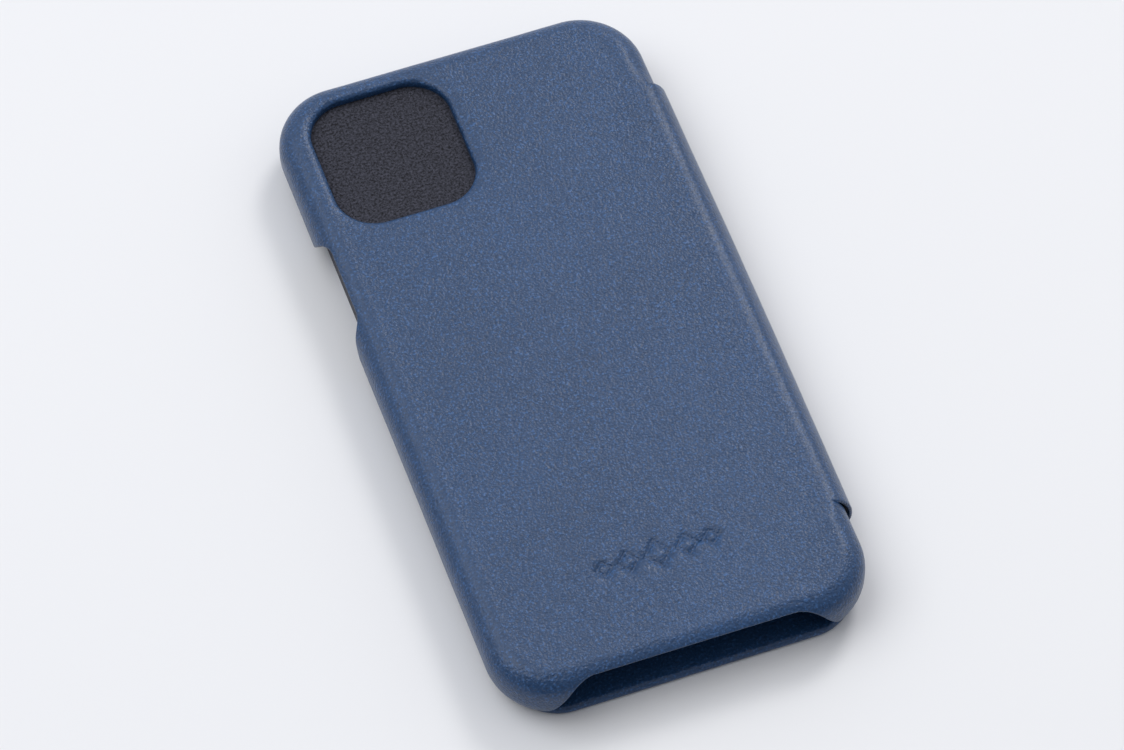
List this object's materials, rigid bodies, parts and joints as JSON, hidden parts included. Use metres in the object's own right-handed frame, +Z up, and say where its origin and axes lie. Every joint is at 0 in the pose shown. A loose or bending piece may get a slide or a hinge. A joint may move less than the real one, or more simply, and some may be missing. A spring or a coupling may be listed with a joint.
{
  "type": "phone wallet case",
  "caption": "Folio wallet case for a slab phone: leather-covered tray, folding spine, magnetic cover with card pockets.",
  "frame": {"origin": "middle of the closed case, on the surface that it lies on, cover down", "axes": "+X across the case towards the spine, +Y along it towards the camera opening, +Z up out of the back"},
  "size_m": [0.0814, 0.1545, 0.0137],
  "materials": {
    "leather": "navy nappa, fine pebble grain, satin",
    "pocket_leather": "navy nappa skived thin, satin",
    "suede": "black microfibre suede",
    "tray_plastic": "moulded, fine matt texture",
    "board": "dense grey fibreboard",
    "magnet": "nickel-plated",
    "keeper_steel": "rolled strip",
    "thread": "bonded polyester thread"
  },
  "bodies": {
    "shell": {"back_leather": "leather", "tray": "tray_plastic", "tray_lining": "suede", "keeper_strips": "keeper_steel"},
    "spine": {"spine_leather": "leather", "spine_lining": "suede"},
    "cover": {"cover_leather": "leather", "cover_board": "board", "cover_lining": "suede", "cover_magnets": "magnet", "pocket_panel_upper": "pocket_leather", "pocket_panel_middle": "pocket_leather", "pocket_panel_lower": "pocket_leather", "pocket_stitching": "thread"}
  },
  "joints": [
    {"name": "spine_fold", "type": "hinge", "parent": "shell", "child": "spine", "pos_m": [0.03807, 0, 0.0123], "axis": [0, -1, 0], "range_deg": [0, 180]},
    {"name": "cover_fold", "type": "hinge", "parent": "spine", "child": "cover", "pos_m": [0.03807, 0, 0.0014], "axis": [0, -1, 0], "range_deg": [0, 180]}
  ]
}
